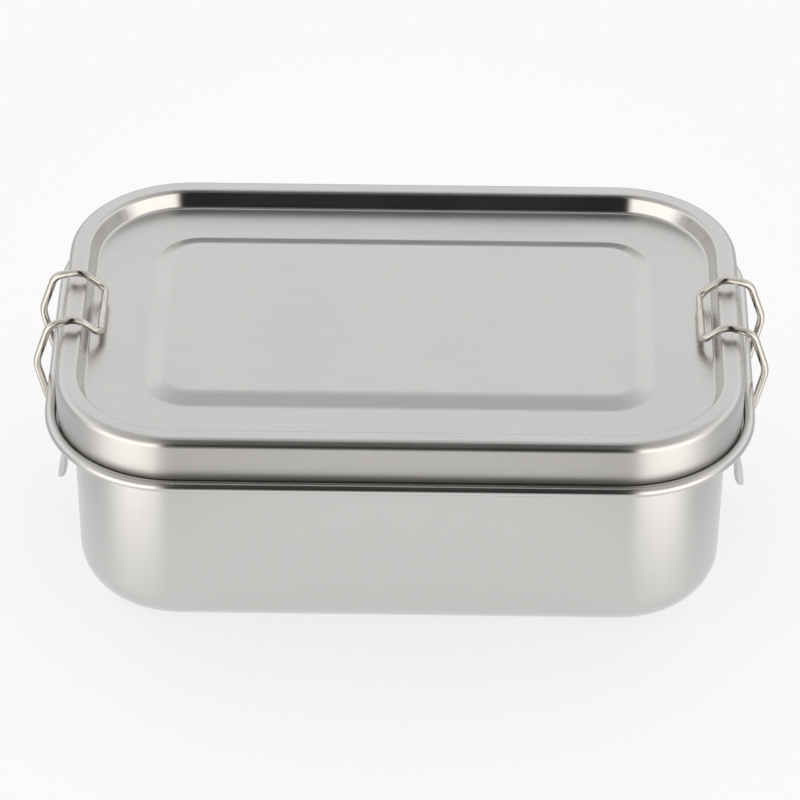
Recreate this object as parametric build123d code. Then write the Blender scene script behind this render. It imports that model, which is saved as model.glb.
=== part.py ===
from build123d import *
import math
import os

# Rectangular stainless-steel lunch box, closed and clipped shut. Millimetres, +Z up, long side along X.
# The origin is on the table, under the centre of the box.

# ---- driving dimensions -------------------------------------------------------------------
SHEET = 0.6                      # tub and lid sheet thickness
BOX_HALF_LENGTH = 88.2           # outermost face of the rolled bead, from the centre
BOX_HALF_WIDTH = 60.2
BOX_CORNER = 33.0                # corner radius of that face, seen from above

BEAD_RADIUS = 1.4                # the rolled edge is a 2.8 mm roll
BEAD_HEIGHT = 49.6               # middle of the roll above the table
FLANGE_TOP = 48.9
FLANGE_BEND = 1.6                # bend between wall and flange, at mid-sheet
WALL_SETBACK = 6.9               # bead's outer face to the tub wall, just under the flange
WALL_DRAFT = 1.1                 # degrees
TUB_BOTTOM_RADIUS = 10.6
PLATE_OVERLAP = 0.5              # how far a flat middle plate runs under its pressed edge

LID_TOP = 62.0
LID_SETBACK = 3.0                # bead's outer face to the lid skirt
LID_EDGE_RADIUS = 2.2
RIM_WIDTH = 5.3                  # lid skirt to the recess
RIM_INNER_RADIUS = 1.3
RECESS_DEPTH = 4.35
RECESS_WALL_RUN = 1.7            # how far the recess wall leans in over its depth
RECESS_FLOOR_RADIUS = 0.9
HEM_BOTTOM = 49.6                # inward hem at the foot of the lid skirt
HEM_WIDTH = 2.6
HEM_BEND = 0.7
LID_RING_END = 14.0              # the pressed edge of the lid is drawn this far in

PLATEAU_HALF_LENGTH = 63.2       # foot of the raised middle field
PLATEAU_HALF_WIDTH = 36.6
PLATEAU_CORNER = 11.0
PLATEAU_SLOPE_RUN = 4.5
PLATEAU_HEIGHT = 1.45
PLATEAU_EDGE_RADIUS = 3.0

SEAL_SETBACK = 4.0               # bead's outer face to the seal
SEAL_WIDTH = 3.2
SEAL_TOP = 51.2

WIRE_RADIUS = 0.95
CROSSBAR = (75.1, 60.1)          # (x, z) of the hook's crossbar, right-hand clip
HOOK_PEAK = (80.9, 64.9)         # where each arm passes over the lid's rim
HOOK_SHOULDER = (87.9, 63.1)
HOOK_KNEE = (91.4, 52.4)         # the arm stands out furthest here
HOOK_TUCK = (89.3, 43.3)
HOOK_PIVOT = (87.4, 36.7)        # where the hook's tips enter the lever
HOOK_ARM_Y = (10.7, 11.1, 11.4, 10.9, 10.3, 10.0)   # each arm's y at pivot, tuck ... peak, crossbar
HOOK_TIP_Y = 6.8
HOOK_BENDS = (1.7, 5.0, 7.0, 3.8, 4.6)   # tip, tuck, knee, shoulder, peak
CROSSBAR_BEND = 2.3

PIVOT = (84.0, 43.0)             # (x, z) of the lever's hinge pin, right-hand clip
PIN_RADIUS = 1.0
PIN_HEAD_RADIUS = 1.6
PIN_HEAD = 0.6
CLIP_SHEET = 0.8                 # lever and bracket sheet
RUNNING_CLEARANCE = 0.06         # radial, pin in lever and wire in lever
HEAD_CLEARANCE = 0.05

EAR_FACE_Y = 8.6                 # outer faces of the lever's ears
EAR_PIVOT_RADIUS = 2.0
EAR_HOOK_RADIUS = 1.75
EAR_HEEL = (86.65, 43.4)         # middle of the ear's rounded heel
EAR_HEEL_RADIUS = 2.05
EAR_FOOT_Z = 27.0
TONGUE_X = 85.4                  # mid-sheet of the lever's tongue
TONGUE_TOP = 40.6
TONGUE_BEND_Z = 16.5
TONGUE_BEND = 14.0
TONGUE_FLARE = 2.3               # how far the tongue's end stands out
TONGUE_BOTTOM = 10.3
TONGUE_TIP_HALF_WIDTH = 7.8
TONGUE_TIP_CORNER = 6.8

BRACKET_HALF_WIDTH = 7.0
BRACKET_BOTTOM = 37.5
BRACKET_TOP = 46.2
BRACKET_EAR_ROOT = 0.6           # radius of the ear's two corners on the base plate


# ---- shared geometry ----------------------------------------------------------------------
SIDE = Plane(origin=(BOX_HALF_LENGTH, 0, 0), x_dir=(-1, 0, 0), z_dir=(0, 1, 0))


def outline(setback):
    """The box's rounded-rectangle outline, set in from the bead's outer face."""
    return RectangleRounded(
        2 * (BOX_HALF_LENGTH - setback),
        2 * (BOX_HALF_WIDTH - setback),
        BOX_CORNER - setback,
    )


def plate(setback, bottom, top):
    """A flat plate on that outline, between two heights."""
    return extrude(Plane.XY.offset(bottom) * outline(setback), amount=top - bottom)


def around(section):
    """Carry a section, drawn as (setback, height), once around the outline."""
    half_path = FilletPolyline(
        (BOX_HALF_LENGTH, 0, 0),
        (BOX_HALF_LENGTH, BOX_HALF_WIDTH, 0),
        (-BOX_HALF_LENGTH, BOX_HALF_WIDTH, 0),
        (-BOX_HALF_LENGTH, 0, 0),
        radius=BOX_CORNER,
    )
    half = sweep(SIDE * section, path=half_path)
    return half + mirror(half, about=Plane.XZ)


def sheet_section(points, bends, thickness):
    """The section of a bent sheet: its middle line, rounded at each bend, thickened both ways."""
    middle = FilletPolyline(*points, radius=bends).wire()
    return make_face(offset(middle, amount=thickness / 2, side=Side.BOTH, closed=True).edges())


def block(x_range, z_range):
    """A rectangle drawn by its ranges, for sections."""
    width = x_range[1] - x_range[0]
    height = z_range[1] - z_range[0]
    middle = ((x_range[0] + x_range[1]) / 2, (z_range[0] + z_range[1]) / 2)
    return Pos(*middle) * Rectangle(width, height)


def edges_at(shape, height):
    """All edges that lie in the horizontal plane at this height."""
    return shape.edges().filter_by_position(Axis.Z, height - 0.01, height + 0.01)


def across(sketch, low_y, high_y):
    """Extrude a sketch drawn as (x, z) between two values of y."""
    return extrude(Plane.XZ.offset(-low_y) * sketch, amount=low_y - high_y)


def both_ears(sketch, outer_face):
    """Two sheet ears with this (x, z) shape, their outer faces at y = +-outer_face."""
    ear = across(sketch, outer_face - CLIP_SHEET, outer_face)
    return ear + mirror(ear, about=Plane.XZ)


def disc(centre, radius):
    return Pos(*centre) * Circle(radius)


# ---- tub ----------------------------------------------------------------------------------
def wall_x(z):
    """Outer face of the tub's right-hand end wall at height z."""
    return BOX_HALF_LENGTH - WALL_SETBACK - (FLANGE_TOP - z) * math.tan(math.radians(WALL_DRAFT))


def tub():
    half = SHEET / 2
    middle_x = BOX_HALF_LENGTH + half / math.cos(math.radians(WALL_DRAFT))
    bottom = (middle_x - wall_x(half), half)
    shoulder = (middle_x - wall_x(FLANGE_TOP - half), FLANGE_TOP - half)
    floor_end = WALL_SETBACK + 2 * TUB_BOTTOM_RADIUS
    points = [(floor_end, half), bottom, shoulder, (BEAD_RADIUS, FLANGE_TOP - half)]
    wall = sheet_section(points, [TUB_BOTTOM_RADIUS - half, FLANGE_BEND], SHEET)
    bead = disc((BEAD_RADIUS, BEAD_HEIGHT), BEAD_RADIUS)
    return around(wall + bead) + plate(floor_end - PLATE_OVERLAP, 0, SHEET)


# ---- lid ----------------------------------------------------------------------------------
def lid_edge():
    """Hem, skirt, rim and recess wall, as one bent sheet around the lid."""
    half = SHEET / 2
    lean = RECESS_WALL_RUN / RECESS_DEPTH
    rim_end = LID_SETBACK + RIM_WIDTH - half * math.hypot(1, lean)
    panel = LID_TOP - RECESS_DEPTH - half
    points = [
        (LID_SETBACK + HEM_WIDTH - half, HEM_BOTTOM + half),
        (LID_SETBACK + half, HEM_BOTTOM + half),
        (LID_SETBACK + half, LID_TOP - half),
        (rim_end + lean * half, LID_TOP - half),
        (rim_end + lean * (RECESS_DEPTH + half), panel),
        (LID_RING_END, panel),
    ]
    bends = [HEM_BEND, LID_EDGE_RADIUS - half, RIM_INNER_RADIUS - half, RECESS_FLOOR_RADIUS + half]
    return around(sheet_section(points, bends, SHEET))


def raised_field(foot_height):
    """The solid of the lid's raised middle field, with its foot at this height."""
    foot = RectangleRounded(2 * PLATEAU_HALF_LENGTH, 2 * PLATEAU_HALF_WIDTH, PLATEAU_CORNER)
    top = RectangleRounded(
        2 * (PLATEAU_HALF_LENGTH - PLATEAU_SLOPE_RUN),
        2 * (PLATEAU_HALF_WIDTH - PLATEAU_SLOPE_RUN),
        PLATEAU_CORNER - PLATEAU_SLOPE_RUN,
    )
    levels = [Plane.XY.offset(foot_height) * foot, Plane.XY.offset(foot_height + PLATEAU_HEIGHT) * top]
    return loft(levels)


def lid():
    panel_top = LID_TOP - RECESS_DEPTH
    panel = plate(LID_RING_END - PLATE_OVERLAP, panel_top - SHEET, panel_top) + raised_field(panel_top)
    panel = fillet(edges_at(panel, panel_top + PLATEAU_HEIGHT), PLATEAU_EDGE_RADIUS)
    return lid_edge() + panel - raised_field(panel_top - SHEET)


def lid_seal():
    """A soft ring with a slot that grips the lid's hem; its lower face lies on the flange."""
    ring = block((SEAL_SETBACK, SEAL_SETBACK + SEAL_WIDTH), (FLANGE_TOP, SEAL_TOP))
    slot = block((LID_SETBACK, LID_SETBACK + HEM_WIDTH), (HEM_BOTTOM, HEM_BOTTOM + SHEET))
    return around(ring - slot)


# ---- right-hand clip ----------------------------------------------------------------------
def bracket():
    base = make_face(Polyline(
        (wall_x(BRACKET_BOTTOM), BRACKET_BOTTOM),
        (wall_x(BRACKET_BOTTOM) + CLIP_SHEET, BRACKET_BOTTOM),
        (wall_x(BRACKET_TOP) + CLIP_SHEET, BRACKET_TOP),
        (wall_x(BRACKET_TOP), BRACKET_TOP),
        close=True,
    ))
    inset = CLIP_SHEET / 2
    roots = [
        disc((wall_x(z) + CLIP_SHEET - inset, z), BRACKET_EAR_ROOT - inset)
        for z in (BRACKET_BOTTOM + BRACKET_EAR_ROOT, BRACKET_TOP - BRACKET_EAR_ROOT)
    ]
    boss = disc(PIVOT, EAR_PIVOT_RADIUS)
    ear = make_hull(boss.edges() + roots[0].edges() + roots[1].edges())
    ears = both_ears(ear - disc(PIVOT, PIN_RADIUS), BRACKET_HALF_WIDTH)
    return across(base, -BRACKET_HALF_WIDTH, BRACKET_HALF_WIDTH) + ears


def hinge_pin():
    """A plain pin with a formed head at each end."""
    shank = across(disc(PIVOT, PIN_RADIUS), -EAR_FACE_Y - HEAD_CLEARANCE, EAR_FACE_Y + HEAD_CLEARANCE)
    face = EAR_FACE_Y + HEAD_CLEARANCE
    head = across(disc(PIVOT, PIN_HEAD_RADIUS), face, face + PIN_HEAD)
    return shank + head + mirror(head, about=Plane.XZ)


def tongue():
    """The lever's finger plate: straight, then flared outwards, with a rounded end."""
    points = [
        (TONGUE_X, TONGUE_TOP),
        (TONGUE_X, TONGUE_BEND_Z),
        (TONGUE_X + TONGUE_FLARE, TONGUE_BOTTOM),
    ]
    section = sheet_section(points, [TONGUE_BEND], CLIP_SHEET)
    strip = across(section, -EAR_FACE_Y, EAR_FACE_Y)
    shape = make_face(Polyline(
        (-EAR_FACE_Y, TONGUE_TOP + CLIP_SHEET),
        (-EAR_FACE_Y, EAR_FOOT_Z),
        (-TONGUE_TIP_HALF_WIDTH, TONGUE_BOTTOM),
        (TONGUE_TIP_HALF_WIDTH, TONGUE_BOTTOM),
        (EAR_FACE_Y, EAR_FOOT_Z),
        (EAR_FACE_Y, TONGUE_TOP + CLIP_SHEET),
        close=True,
    ))
    tip_corners = shape.vertices().group_by(Axis.Y)[0]
    shape = fillet(tip_corners, TONGUE_TIP_CORNER)
    return strip & extrude(Plane.YZ * shape, amount=BOX_HALF_LENGTH + TONGUE_FLARE + CLIP_SHEET)


def lever():
    shapes = [
        disc((TONGUE_X, EAR_FOOT_Z), CLIP_SHEET / 2),
        disc(PIVOT, EAR_PIVOT_RADIUS),
        disc(EAR_HEEL, EAR_HEEL_RADIUS),
        disc(HOOK_PIVOT, EAR_HOOK_RADIUS),
    ]
    ear = make_hull([edge for shape in shapes for edge in shape.edges()])
    ear -= disc(PIVOT, PIN_RADIUS + RUNNING_CLEARANCE)
    ear -= disc(HOOK_PIVOT, WIRE_RADIUS + RUNNING_CLEARANCE)
    return both_ears(ear, EAR_FACE_Y) + tongue()


def hook_arm(side):
    """The points of one arm's centre line, from its tip to the crossbar; side is -1 or 1."""
    bends = (HOOK_PIVOT, HOOK_TUCK, HOOK_KNEE, HOOK_SHOULDER, HOOK_PEAK, CROSSBAR)
    tip = (HOOK_PIVOT[0], side * HOOK_TIP_Y, HOOK_PIVOT[1])
    return [tip] + [(x, side * y, z) for (x, z), y in zip(bends, HOOK_ARM_Y)]


def hook():
    """One bent wire: tip, arm, crossbar, arm, tip."""
    points = hook_arm(-1) + hook_arm(1)[::-1]
    radii = [*HOOK_BENDS, CROSSBAR_BEND, CROSSBAR_BEND, *HOOK_BENDS[::-1]]
    path = FilletPolyline(*points, radius=radii)
    section = Plane(path @ 0, z_dir=path % 0) * Circle(WIRE_RADIUS)
    return sweep(section, path=path)


# ---- export -------------------------------------------------------------------------------
def main():
    os.makedirs("parts", exist_ok=True)
    export_step(tub(), "parts/tub.step")
    export_step(lid(), "parts/lid.step")
    export_step(lid_seal(), "parts/lid_seal.step")
    clip = {"bracket": bracket(), "hinge_pin": hinge_pin(), "lever": lever(), "hook": hook()}
    for name, piece in clip.items():
        export_step(piece, f"parts/right_{name}.step")
        export_step(mirror(piece, about=Plane.YZ), f"parts/left_{name}.step")


main()
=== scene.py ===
import math

import bpy
from mathutils import Matrix, Vector


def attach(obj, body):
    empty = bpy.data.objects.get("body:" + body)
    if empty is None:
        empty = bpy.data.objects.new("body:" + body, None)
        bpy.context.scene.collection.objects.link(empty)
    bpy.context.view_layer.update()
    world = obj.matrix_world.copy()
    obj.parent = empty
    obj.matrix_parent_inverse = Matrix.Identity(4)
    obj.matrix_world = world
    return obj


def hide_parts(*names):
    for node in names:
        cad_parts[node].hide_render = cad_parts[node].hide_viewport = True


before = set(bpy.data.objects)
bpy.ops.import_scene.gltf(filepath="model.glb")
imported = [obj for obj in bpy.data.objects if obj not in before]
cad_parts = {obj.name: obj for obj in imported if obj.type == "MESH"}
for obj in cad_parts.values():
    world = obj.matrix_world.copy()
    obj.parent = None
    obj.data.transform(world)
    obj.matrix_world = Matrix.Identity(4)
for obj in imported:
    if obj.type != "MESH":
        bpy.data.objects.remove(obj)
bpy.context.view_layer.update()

# Looks of a stainless-steel lunch box: pressed lid and tub, bright wire hooks, sheet levers.
# Sections are drawn in millimetres, as (outward, up) from the outline of the tub's rolled edge.

MM = 0.001

# ---- dimensions shared with the model ------------------------------------------------------
SHEET = 0.6
BOX_OUTLINE = (88.2, 60.2, 33.0)         # half length, half width, corner radius
FIELD_OUTLINE = (63.2, 36.6, 11.0)       # foot of the lid's raised middle field
BEAD_RADIUS = 1.4
BEAD_HEIGHT = 49.6
FLANGE_TOP = 48.9
FLANGE_BEND = 1.6
WALL_SETBACK = 6.9                       # bead's outer face to the tub wall, just under the flange
WALL_DRAFT = 1.1                         # degrees
TUB_BOTTOM_RADIUS = 10.6
LID_TOP = 62.0
LID_SETBACK = 3.0                        # bead's outer face to the lid skirt
LID_EDGE_RADIUS = 2.2
RIM_WIDTH = 5.3                          # lid skirt to the recess
RIM_INNER_RADIUS = 1.3
RECESS_DEPTH = 4.35
RECESS_WALL_RUN = 1.7                    # how far the recess wall leans in over its depth
RECESS_FLOOR_RADIUS = 0.9
HEM_BOTTOM = 49.6                        # inward hem at the foot of the lid skirt
HEM_WIDTH = 2.6
HEM_BEND = 0.7
LID_RING_END = 14.0                      # bead's outer face to the inner end of the lid's edge section
FIELD_SLOPE_RUN = 4.5
FIELD_HEIGHT = 1.45

# ---- softer or finer than in the model -----------------------------------------------------
FIELD_BENDS = (7.0, 4.0)                 # top and foot of the raised field's slope
CORNER_EASE = 8.0                        # length over which a corner's curve sets in
CORNER_STEPS = 40
CORNER_PARTS = 10                        # parts of a corner step that its curve is summed over
END_STEPS = 8                            # steps round the sheet's rounded edge
ARC_STEP = 7.0                           # degrees of bend from one ring of a section to the next


# ---- sections ------------------------------------------------------------------------------
def turned(vector, angle):
    """The vector turned anticlockwise by an angle in radians."""
    c, s = math.cos(angle), math.sin(angle)
    return (vector[0] * c - vector[1] * s, vector[0] * s + vector[1] * c)


def bent_line(points, radii):
    """A line with rounded bends, as rows of (outward, up, normal outward, normal up).

    The normal is on the left of the line.
    """
    rows = []
    start = points[0]
    direction = (0.0, 0.0)
    for before, corner, after, radius in zip(points, points[1:], points[2:], radii):
        arrive = Vector((corner[0] - before[0], corner[1] - before[1])).normalized()
        leave = Vector((after[0] - corner[0], after[1] - corner[1])).normalized()
        turn = math.atan2(arrive.x * leave.y - arrive.y * leave.x, arrive.dot(leave))
        back = radius * abs(math.tan(turn / 2))
        normal = (-arrive.y, arrive.x)
        side = math.copysign(radius, turn)
        first = (corner[0] - arrive.x * back, corner[1] - arrive.y * back)
        centre = (first[0] + normal[0] * side, first[1] + normal[1] * side)
        rows.append((*start, *normal))
        steps = max(2, math.ceil(abs(math.degrees(turn)) / ARC_STEP))
        for k in range(steps + 1):
            n = turned(normal, turn * k / steps)
            rows.append((centre[0] - n[0] * side, centre[1] - n[1] * side, *n))
        start = rows[-1][:2]
        direction = leave
    rows.append((*points[-1], -direction.y, direction.x))
    return rows


def shifted(rows, distance):
    """The same line shifted to its left."""
    return [(o + n * distance, z + m * distance, n, m) for o, z, n, m in rows]


def other_side(rows, distance):
    """The same line shifted to its right and walked backwards, with its normals turned round."""
    return [(o - n * distance, z - m * distance, -n, -m) for o, z, n, m in reversed(rows)]


def arc_rows(centre, radius, first, last):
    """Rows on a circle between two angles in degrees, with the normals pointing out of it."""
    steps = max(2, math.ceil(abs(last - first) / ARC_STEP))
    rows = []
    for k in range(steps + 1):
        a = math.radians(first + (last - first) * k / steps)
        c, s = math.cos(a), math.sin(a)
        rows.append((centre[0] + radius * c, centre[1] + radius * s, c, s))
    return rows


# ---- meshes --------------------------------------------------------------------------------
def eased_quarter(radius):
    """A quarter turn whose curve sets in and lets go gently, as rows of (inward, forward, angle)."""
    ease = min(CORNER_EASE, radius / 2)
    length = radius * math.pi / 2 + ease
    step = length / (CORNER_STEPS * CORNER_PARTS)

    def angle(s):
        if s < ease:
            return s * s / (2 * ease * radius)
        if s > length - ease:
            return math.pi / 2 - (length - s) ** 2 / (2 * ease * radius)
        return (s - ease / 2) / radius

    inward, forward = 0.0, 0.0
    rows = [(inward, forward, 0.0)]
    for k in range(CORNER_STEPS * CORNER_PARTS):
        a = angle((k + 0.5) * step)
        inward += math.sin(a) * step
        forward += math.cos(a) * step
        if (k + 1) % CORNER_PARTS == 0:
            rows.append((inward, forward, angle((k + 1) * step)))
    return rows


def ring(outline, outward):
    """Points and outward directions once around the outline, grown by a distance."""
    half_x, half_y, corner = outline
    quarter_rows = eased_quarter(corner)
    reach = quarter_rows[-1][1]
    rows = []
    for quarter, (sx, sy) in enumerate(((1, 1), (-1, 1), (-1, -1), (1, -1))):
        turn = quarter * math.pi / 2
        start_x, start_y = sx * (half_x - reach), sy * (half_y - reach)
        for inward, forward, angle in quarter_rows:
            c, s = math.cos(turn + angle), math.sin(turn + angle)
            x, y = turned((reach - inward, forward), turn)
            rows.append((start_x + x + outward * c, start_y + y + outward * s, c, s))
    return rows


def add_mesh(name, points, faces, corner_normals, flat_uvs, around_uvs):
    """A smooth mesh with its own normals and two UV maps: the sheet laid flat, and (lap, outward)."""
    mesh = bpy.data.meshes.new(name)
    mesh.from_pydata(points, [], faces)
    for layer_name, corner_uvs in (("flat_sheet", flat_uvs), ("around", around_uvs)):
        layer = mesh.uv_layers.new(name=layer_name)
        layer.data.foreach_set("uv", [x for uv in corner_uvs for x in uv])
    mesh.polygons.foreach_set("use_smooth", [True] * len(faces))
    mesh.normals_split_custom_set(corner_normals)
    mesh.update()
    obj = bpy.data.objects.new(name, mesh)
    bpy.context.scene.collection.objects.link(obj)
    return obj


def pressed_shell(name, runs):
    """A closed sheet-metal form: sections carried round their outlines and capped at both inner ends.

    A run is (outline, rows, flat); flat is how far outward each row lies when the sheet is laid flat.
    """
    rings, stations = [], []
    last_key = None
    for outline, rows, flat in runs:
        for row, out_flat in zip(rows, flat):
            key = (outline, round(row[0], 5), round(row[1], 5))
            if key != last_key:
                rings.append([(x * MM, y * MM, row[1] * MM) for x, y, _, _ in ring(outline, row[0])])
            stations.append((len(rings) - 1, outline, row, out_flat))
            last_key = key
    points = [point for r in rings for point in r]
    count = len(rings[0])
    edge = ring(BOX_OUTLINE, 0.0)
    lap = [0.0]
    for a, b in zip(edge, edge[1:] + edge[:1]):
        lap.append(lap[-1] + math.dist(a[:2], b[:2]) * MM)

    def corners(station):
        """For each point of a ring: its index, normal, place on the flat sheet and flat distance."""
        at, outline, (_, _, out, up), out_flat = station
        return [
            (at * count + j, (c * out, s * out, up), (x * MM, y * MM), out_flat * MM)
            for j, (x, y, c, s) in enumerate(ring(outline, out_flat))
        ]

    faces, normals, flat_uvs, around_uvs = [], [], [], []
    for low, high in zip(stations, stations[1:]):
        if low[0] == high[0]:
            continue
        a_ring, b_ring = corners(low), corners(high)
        for j in range(count):
            k = (j + 1) % count
            quad = (a_ring[j], b_ring[j], b_ring[k], a_ring[k])
            faces.append([q[0] for q in quad])
            normals += [q[1] for q in quad]
            flat_uvs += [q[2] for q in quad]
            around_uvs += [(lap[i], q[3]) for i, q in zip((j, j, j + 1, j + 1), quad)]
    for station, order in ((stations[0], 1), (stations[-1], -1)):
        cap = corners(station)[::order]
        faces.append([q[0] for q in cap])
        normals += [q[1] for q in cap]
        flat_uvs += [q[2] for q in cap]
        around_uvs += [q[2] for q in cap]
    return add_mesh(name, points, faces, normals, flat_uvs, around_uvs)


def along(rows, start):
    """How far outward each row lies once the sheet is laid flat, with the first row at start."""
    flat = [start]
    for a, b in zip(rows, rows[1:]):
        flat.append(flat[-1] + math.dist(a[:2], b[:2]))
    return flat


# ---- lid -----------------------------------------------------------------------------------
def make_lid():
    """The pressed lid: hem, skirt, rim, recess wall and panel, with a raised field in the middle."""
    half = SHEET / 2
    lean = RECESS_WALL_RUN / RECESS_DEPTH
    rim_end = LID_SETBACK + RIM_WIDTH - half * math.hypot(1, lean)
    panel = LID_TOP - RECESS_DEPTH - half
    edge = bent_line(
        [
            (-LID_RING_END, panel),
            (-(rim_end + lean * (RECESS_DEPTH + half)), panel),
            (-(rim_end + lean * half), LID_TOP - half),
            (-(LID_SETBACK + half), LID_TOP - half),
            (-(LID_SETBACK + half), HEM_BOTTOM + half),
            (-(LID_SETBACK + HEM_WIDTH - half), HEM_BOTTOM + half),
        ],
        [RECESS_FLOOR_RADIUS + half, RIM_INNER_RADIUS - half, LID_EDGE_RADIUS - half, HEM_BEND],
    )
    field = bent_line(
        [
            (-2 * FIELD_SLOPE_RUN, panel + FIELD_HEIGHT),
            (-FIELD_SLOPE_RUN, panel + FIELD_HEIGHT),
            (0, panel),
            (FIELD_SLOPE_RUN, panel),
        ],
        FIELD_BENDS,
    )
    top, top_field = shifted(edge, half), shifted(field, half)
    under, under_field = other_side(edge, half), other_side(field, half)
    o, z, n, m = edge[-1]
    end_directions = [turned((n, m), -math.pi * k / END_STEPS) for k in range(END_STEPS + 1)]
    cap = [(o + half * a, z + half * b, a, b) for a, b in end_directions]
    flat_top = along(top, -LID_RING_END)
    flat_under = along(under[::-1], -LID_RING_END)[::-1]
    lid = pressed_shell("lid_shell", [
        (FIELD_OUTLINE, top_field, [row[0] for row in top_field]),
        (BOX_OUTLINE, top, flat_top),
        (BOX_OUTLINE, cap, [flat_top[-1]] * len(cap)),
        (BOX_OUTLINE, under, flat_under),
        (FIELD_OUTLINE, under_field, [row[0] for row in under_field]),
    ])
    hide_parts("lid")
    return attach(lid, "lid")


# ---- tub -----------------------------------------------------------------------------------
def make_tub():
    """The drawn tub: floor, wall, flange and the roll around its edge."""
    half = SHEET / 2
    slope = math.tan(math.radians(WALL_DRAFT))
    across = half / math.cos(math.radians(WALL_DRAFT))

    def wall(z):
        return -(WALL_SETBACK + (FLANGE_TOP - z) * slope + across)

    floor_end = WALL_SETBACK + 2 * TUB_BOTTOM_RADIUS
    flange = FLANGE_TOP - half
    middle = bent_line(
        [(-floor_end, half), (wall(half), half), (wall(flange), flange), (-BEAD_RADIUS, flange)],
        [TUB_BOTTOM_RADIUS - half, FLANGE_BEND],
    )
    centre = (-BEAD_RADIUS, BEAD_HEIGHT)

    def meeting(height):
        """Where the flange's surface at this height runs into the roll: outward place, angle."""
        across_roll = math.sqrt(BEAD_RADIUS ** 2 - (height - BEAD_HEIGHT) ** 2)
        return -BEAD_RADIUS - across_roll, math.degrees(math.atan2(height - BEAD_HEIGHT, -across_roll))

    top_end, top_angle = meeting(FLANGE_TOP)
    under_end, under_angle = meeting(FLANGE_TOP - SHEET)
    inside = shifted(middle, half)
    inside[-1] = (top_end, *inside[-1][1:])
    outside = other_side(middle, half)
    outside[0] = (under_end, *outside[0][1:])
    roll = arc_rows(centre, BEAD_RADIUS, top_angle + 360, under_angle)
    flat_in = along(inside, -floor_end)
    flat_out = along(outside[::-1], -floor_end)[::-1]
    tub = pressed_shell("tub_shell", [
        (BOX_OUTLINE, inside, flat_in),
        (BOX_OUTLINE, roll, along(roll, flat_in[-1])),
        (BOX_OUTLINE, outside, flat_out),
    ])
    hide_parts("tub")
    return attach(tub, "tub")


# ---- materials -----------------------------------------------------------------------------
class Graph:
    """Short calls for building a node tree."""

    def __init__(self, tree):
        self.tree = tree
        self.shader = next((n for n in tree.nodes if n.type == "BSDF_PRINCIPLED"), None)

    def node(self, kind, inputs=None, **settings):
        made = self.tree.nodes.new(kind)
        for key, value in settings.items():
            setattr(made, key, value)
        for key, value in (inputs or {}).items():
            if isinstance(value, bpy.types.NodeSocket):
                self.tree.links.new(value, made.inputs[key])
            else:
                made.inputs[key].default_value = value
        return made

    def math(self, operation, a, b=0.0):
        return self.node("ShaderNodeMath", {0: a, 1: b}, operation=operation).outputs[0]

    def spread(self, value, low, high, to_low, to_high, smooth=False):
        made = self.node("ShaderNodeMapRange", {
            "Value": value, "From Min": low, "From Max": high, "To Min": to_low, "To Max": to_high,
        }, interpolation_type="SMOOTHSTEP" if smooth else "LINEAR")
        return made.outputs["Result"]

    def noise(self, vector, scale, detail=2.0, roughness=0.5):
        made = self.node("ShaderNodeTexNoise", {
            "Vector": vector, "Scale": scale, "Detail": detail, "Roughness": roughness,
        })
        return made.outputs["Fac"]

    def stretched(self, vector, scale):
        return self.node("ShaderNodeVectorMath", {0: vector, 1: scale}, operation="MULTIPLY").outputs[0]

    def mixed(self, kind, factor, first, second):
        made = self.node("ShaderNodeMix", data_type=kind)
        ports = {"FLOAT": (0, 2, 3, 0), "VECTOR": (0, 4, 5, 1)}[kind]
        for port, value in zip(ports, (factor, first, second)):
            if isinstance(value, bpy.types.NodeSocket):
                self.tree.links.new(value, made.inputs[port])
            else:
                made.inputs[port].default_value = value
        return made.outputs[ports[3]]

    def colour_between(self, factor, dark, light):
        made = self.node("ShaderNodeMix", {0: factor}, data_type="RGBA")
        made.inputs[6].default_value = (*dark, 1)
        made.inputs[7].default_value = (*light, 1)
        return made.outputs[2]

    def set(self, **values):
        for key, value in values.items():
            socket = self.shader.inputs[key.replace("_", " ")]
            if isinstance(value, bpy.types.NodeSocket):
                self.tree.links.new(value, socket)
            else:
                socket.default_value = value

    def bump(self, height, strength, distance):
        made = self.node("ShaderNodeBump", {"Strength": strength, "Distance": distance, "Height": height})
        self.set(Normal=made.outputs[0])


def new_material(name):
    material = bpy.data.materials.new(name)
    material.use_nodes = True
    return material, Graph(material.node_tree)


FINE_GRAIN = (60, 6500, 1)               # noise cells per metre, along and across the brushing
BROAD_GRAIN = (14, 900, 1)
GRAIN_DEPTH = 0.00004                    # metres


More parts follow.
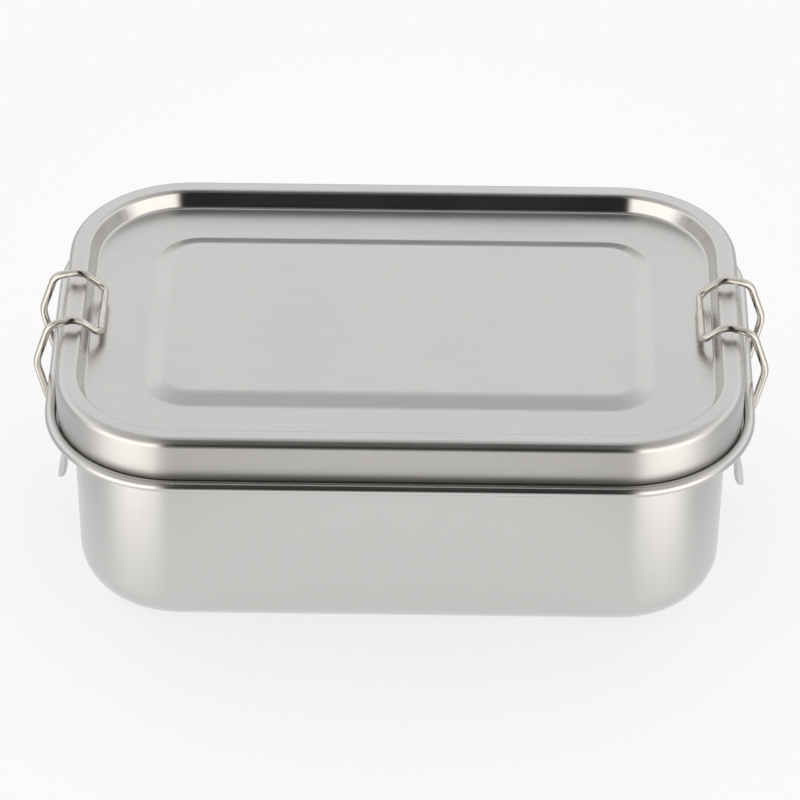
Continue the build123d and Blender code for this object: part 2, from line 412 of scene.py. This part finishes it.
def brushed_sheet(
    name, dark, light, flat_rough, upright_rough, hollow_rough, folded_rough, leaning_to, grain, anisotropic
):
    """Pressed stainless sheet, brushed along its flat faces and around its upright ones.

    Leaning faces, up to the level where the normal's height is leaning_to, are smoother: hollow_rough where
    they face the middle of the box, folded_rough where they face out.
    """
    material, g = new_material(name)
    coordinates = g.node("ShaderNodeTexCoord").outputs
    place, normal = coordinates["Object"], coordinates["Normal"]
    level = g.math("ABSOLUTE", g.node("ShaderNodeSeparateXYZ", {0: normal}).outputs[2])
    upright = g.spread(level, 0.05, 0.4, 1.0, 0.0, smooth=True)
    off_upright = g.spread(level, 0.04, 0.16, 0.0, 1.0)
    off_flat = g.spread(level, leaning_to - 0.2, leaning_to, 1.0, 0.0)
    leaning = g.math("MULTIPLY", off_upright, off_flat)
    across = g.stretched(place, (1.0, 1.0, 0.0))
    facing_out = g.node("ShaderNodeVectorMath", {0: across, 1: normal}, operation="DOT_PRODUCT")
    leaning_rough = g.spread(facing_out.outputs["Value"], -0.002, 0.002, hollow_rough, folded_rough)
    flat_uv = g.node("ShaderNodeUVMap", uv_map="flat_sheet").outputs[0]
    around_uv = g.node("ShaderNodeUVMap", uv_map="around").outputs[0]

    def grain_lines(vector):
        fine = g.noise(g.stretched(vector, FINE_GRAIN), 1.0, 3.0, 0.6)
        broad = g.noise(g.stretched(vector, BROAD_GRAIN), 1.0, 2.0)
        return g.math("ADD", g.math("MULTIPLY", fine, 0.8), g.math("MULTIPLY", broad, 0.2))

    around_lines = g.spread(grain_lines(around_uv), 0.0, 1.0, 0.28, 0.72)
    lines = g.mixed("FLOAT", upright, grain_lines(flat_uv), around_lines)
    shade = g.spread(lines, 0.3, 0.7, 0.5 - grain, 0.5 + grain)
    cloud = g.noise(place, 28.0, 3.0)
    specks = g.spread(g.noise(place, 700.0, 1.0), 0.79, 0.83, 0.0, 0.2)
    worn = g.math("ADD", g.spread(cloud, 0.35, 0.65, -0.012, 0.012), specks)
    even_rough = g.mixed("FLOAT", upright, flat_rough, upright_rough)
    brushed_rough = g.math("MULTIPLY", even_rough, g.spread(lines, 0.3, 0.7, 1.1, 0.9))
    g.set(
        Base_Color=g.colour_between(shade, dark, light),
        Metallic=1.0,
        Roughness=g.math("ADD", g.mixed("FLOAT", leaning, brushed_rough, leaning_rough), worn),
        Anisotropic=anisotropic,
        Anisotropic_Rotation=0.25,
    )
    flat_way = g.node("ShaderNodeTangent", direction_type="UV_MAP", uv_map="flat_sheet").outputs[0]
    around_way = g.node("ShaderNodeTangent", direction_type="UV_MAP", uv_map="around").outputs[0]
    g.set(Tangent=g.mixed("VECTOR", upright, flat_way, around_way))
    g.bump(lines, 0.05 * grain, GRAIN_DEPTH)
    return material


def bright_metal(name, dark, light, rough, stretch, relief):
    """Drawn wire or polished sheet: faint lines in it, and small dull patches."""
    material, g = new_material(name)
    place = g.node("ShaderNodeTexCoord").outputs["Object"]
    lines = g.noise(g.stretched(place, stretch), 1.0, 3.0, 0.6)
    dull = g.noise(place, 160.0, 3.0)
    g.set(
        Base_Color=g.colour_between(g.spread(lines, 0.3, 0.7, 0.0, 1.0), dark, light),
        Metallic=1.0,
        Roughness=g.spread(dull, 0.35, 0.7, rough * 0.85, rough * 1.35),
    )
    g.bump(lines, relief, 0.00003)
    return material


def silicone(name):
    """Soft off-white rubber with a fine, slightly matt skin."""
    material, g = new_material(name)
    place = g.node("ShaderNodeTexCoord").outputs["Object"]
    cloud = g.noise(place, 60.0, 3.0)
    g.set(
        Base_Color=g.colour_between(cloud, (0.70, 0.70, 0.68), (0.82, 0.82, 0.80)),
        Roughness=g.spread(cloud, 0.3, 0.7, 0.42, 0.52),
        Subsurface_Weight=0.25,
        Subsurface_Scale=0.003,
    )
    g.bump(g.noise(place, 2500.0, 2.0), 0.1, 0.00005)
    return material


def dress(obj, material):
    obj.data.materials.clear()
    obj.data.materials.append(material)


# ---- studio --------------------------------------------------------------------------------
BACKGROUND = (0.955, 0.955, 0.955, 1)    # what the camera sees around the object
COOL_WHITE = (1.0, 0.992, 0.985)
WARM_WHITE = (1.0, 0.965, 0.91)


def make_world():
    """Soft white light from the sides and behind, and an unlit strip of room on the camera's side.

    The light depends on its direction: x is to the right, y away from the camera and z up.
    """
    world = bpy.data.worlds.new("studio")
    world.use_nodes = True
    bpy.context.scene.world = world
    g = Graph(world.node_tree)
    g.tree.nodes.clear()
    direction = g.node("ShaderNodeTexCoord").outputs["Generated"]
    x, y, z = list(g.node("ShaderNodeSeparateXYZ", {0: direction}).outputs)[:3]

    # behind: brightest half way up, dimmer overhead
    rising = g.spread(z, 0.0, 0.42, 0.66, 1.12, smooth=True)
    behind = g.math("SUBTRACT", rising, g.spread(z, 0.50, 0.95, 0.0, 0.46, smooth=True))
    # in front: a bright band at the horizon, dimmer overhead
    below = g.spread(z, -0.45, -0.05, -0.05, 0.0, smooth=True)
    in_front = g.math("ADD", below, g.spread(z, 0.0, 0.65, 1.80, 0.62, smooth=True))
    # the strip: nearly dark, with some light from the ground
    ground = g.spread(z, -0.25, 0.0, 0.36, 0.0, smooth=True)
    unlit = g.math("ADD", ground, g.spread(z, 0.2, 0.7, 0.02, 0.045, smooth=True))

    front = g.spread(y, 0.08, -0.55, 0.0, 1.0, smooth=True)
    aside = g.math("ADD", g.math("ABSOLUTE", x), g.spread(z, 0.1, 0.6, 0.0, 0.06))
    strip_height = g.spread(y, 0.06, -0.10, 0.0, 1.0, smooth=True)
    strip = g.math("MULTIPLY", strip_height, g.spread(aside, 0.15, 0.31, 1.0, 0.0, smooth=True))
    brightness = g.mixed("FLOAT", strip, g.mixed("FLOAT", front, behind, in_front), unlit)
    tint = g.colour_between(front, COOL_WHITE, WARM_WHITE)

    studio = g.node("ShaderNodeBackground", {"Color": tint, "Strength": brightness})
    plain = g.node("ShaderNodeBackground", {"Color": BACKGROUND, "Strength": 1.0})
    seen = g.node("ShaderNodeLightPath").outputs["Is Camera Ray"]
    mixed = g.node("ShaderNodeMixShader", {0: seen, 1: studio.outputs[0], 2: plain.outputs[0]})
    g.node("ShaderNodeOutputWorld", {0: mixed.outputs[0]})


FLOOR_SOLID = 0.10                       # metres from the middle; beyond this the floor starts to fade
FLOOR_END = 0.24
FLOOR_STRETCH = (1.5, 1.0, 1.0)          # the solid part is an oval, narrower along x
FLOOR_GREY = (0.45, 0.45, 0.45, 1)
FLOOR_GLOW = 0.64
FLOOR_SIDES = 96


def make_floor():
    """A pale round floor that fades out into the pale surroundings."""
    angles = [2 * math.pi * k / FLOOR_SIDES for k in range(FLOOR_SIDES)]
    points = [(FLOOR_END * math.cos(a), FLOOR_END * math.sin(a), 0.0) for a in angles]
    mesh = bpy.data.meshes.new("floor")
    mesh.from_pydata(points, [], [list(range(FLOOR_SIDES))])
    floor = bpy.data.objects.new("floor", mesh)
    bpy.context.scene.collection.objects.link(floor)
    material, g = new_material("pale_floor")
    oval = g.stretched(g.node("ShaderNodeTexCoord").outputs["Object"], FLOOR_STRETCH)
    far = g.node("ShaderNodeVectorMath", {0: oval}, operation="LENGTH").outputs["Value"]
    g.set(
        Base_Color=FLOOR_GREY,
        Roughness=0.9,
        Specular_IOR_Level=0.0,
        Emission_Color=(1, 1, 1, 1),
        Emission_Strength=FLOOR_GLOW,
        Alpha=g.spread(far, FLOOR_SOLID, FLOOR_END, 1.0, 0.0, smooth=True),
    )
    dress(floor, material)


YAW, PITCH, ROLL = 0.748, 36.3, 0.247    # degrees
DISTANCE = 1250.0
TARGET = (-0.311, 0.0, 33.381)
FOCAL_LENGTH = 220.854
SENSOR_WIDTH = 36.0


def make_camera():
    """The photo's view: from the front, a little to the right, looking down."""
    yaw, pitch, roll = (math.radians(a) for a in (YAW, PITCH, ROLL))
    back = Vector((math.sin(yaw) * math.cos(pitch), -math.cos(yaw) * math.cos(pitch), math.sin(pitch)))
    right = Vector((math.cos(yaw), math.sin(yaw), 0.0))
    up = back.cross(right)
    c, s = math.cos(roll), math.sin(roll)
    right, up = c * right + s * up, c * up - s * right
    data = bpy.data.cameras.new("camera")
    data.sensor_width = SENSOR_WIDTH
    data.lens = FOCAL_LENGTH
    data.clip_start, data.clip_end = 0.05, 20.0
    camera = bpy.data.objects.new("camera", data)
    bpy.context.scene.collection.objects.link(camera)
    turn = Matrix((right, up, back)).transposed().to_4x4()
    camera.matrix_world = Matrix.Translation((Vector(TARGET) + DISTANCE * back) * MM) @ turn
    bpy.context.scene.camera = camera


# ---- the object ----------------------------------------------------------------------------
bpy.context.scene.view_settings.view_transform = "Standard"
make_world()
make_floor()
make_camera()

lid_metal = brushed_sheet(
    "lid_brushed",
    dark=(0.56, 0.552, 0.543),
    light=(0.665, 0.656, 0.647),
    flat_rough=0.28,
    upright_rough=0.32,
    hollow_rough=0.14,
    folded_rough=0.19,
    leaning_to=0.65,
    grain=0.13,
    anisotropic=0.6,
)
tub_metal = brushed_sheet(
    "tub_satin",
    dark=(0.585, 0.58, 0.572),
    light=(0.66, 0.655, 0.647),
    flat_rough=0.26,
    upright_rough=0.24,
    hollow_rough=0.12,
    folded_rough=0.15,
    leaning_to=1.0,
    grain=0.10,
    anisotropic=0.3,
)
wire_metal = bright_metal(
    "wire_bright",
    dark=(0.54, 0.515, 0.475),
    light=(0.66, 0.635, 0.595),
    rough=0.09,
    stretch=(300, 300, 300),
    relief=0.004,
)
clip_metal = bright_metal(
    "clip_bright",
    dark=(0.50, 0.50, 0.50),
    light=(0.60, 0.60, 0.595),
    rough=0.22,
    stretch=(2600, 2600, 90),
    relief=0.02,
)

dress(make_lid(), lid_metal)
dress(make_tub(), tub_metal)
for side_name in ("left", "right"):
    dress(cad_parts[side_name + "_hook"], wire_metal)
    dress(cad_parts[side_name + "_hinge_pin"], wire_metal)
    dress(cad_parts[side_name + "_lever"], clip_metal)
    dress(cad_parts[side_name + "_bracket"], clip_metal)
dress(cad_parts["lid_seal"], silicone("seal_silicone"))
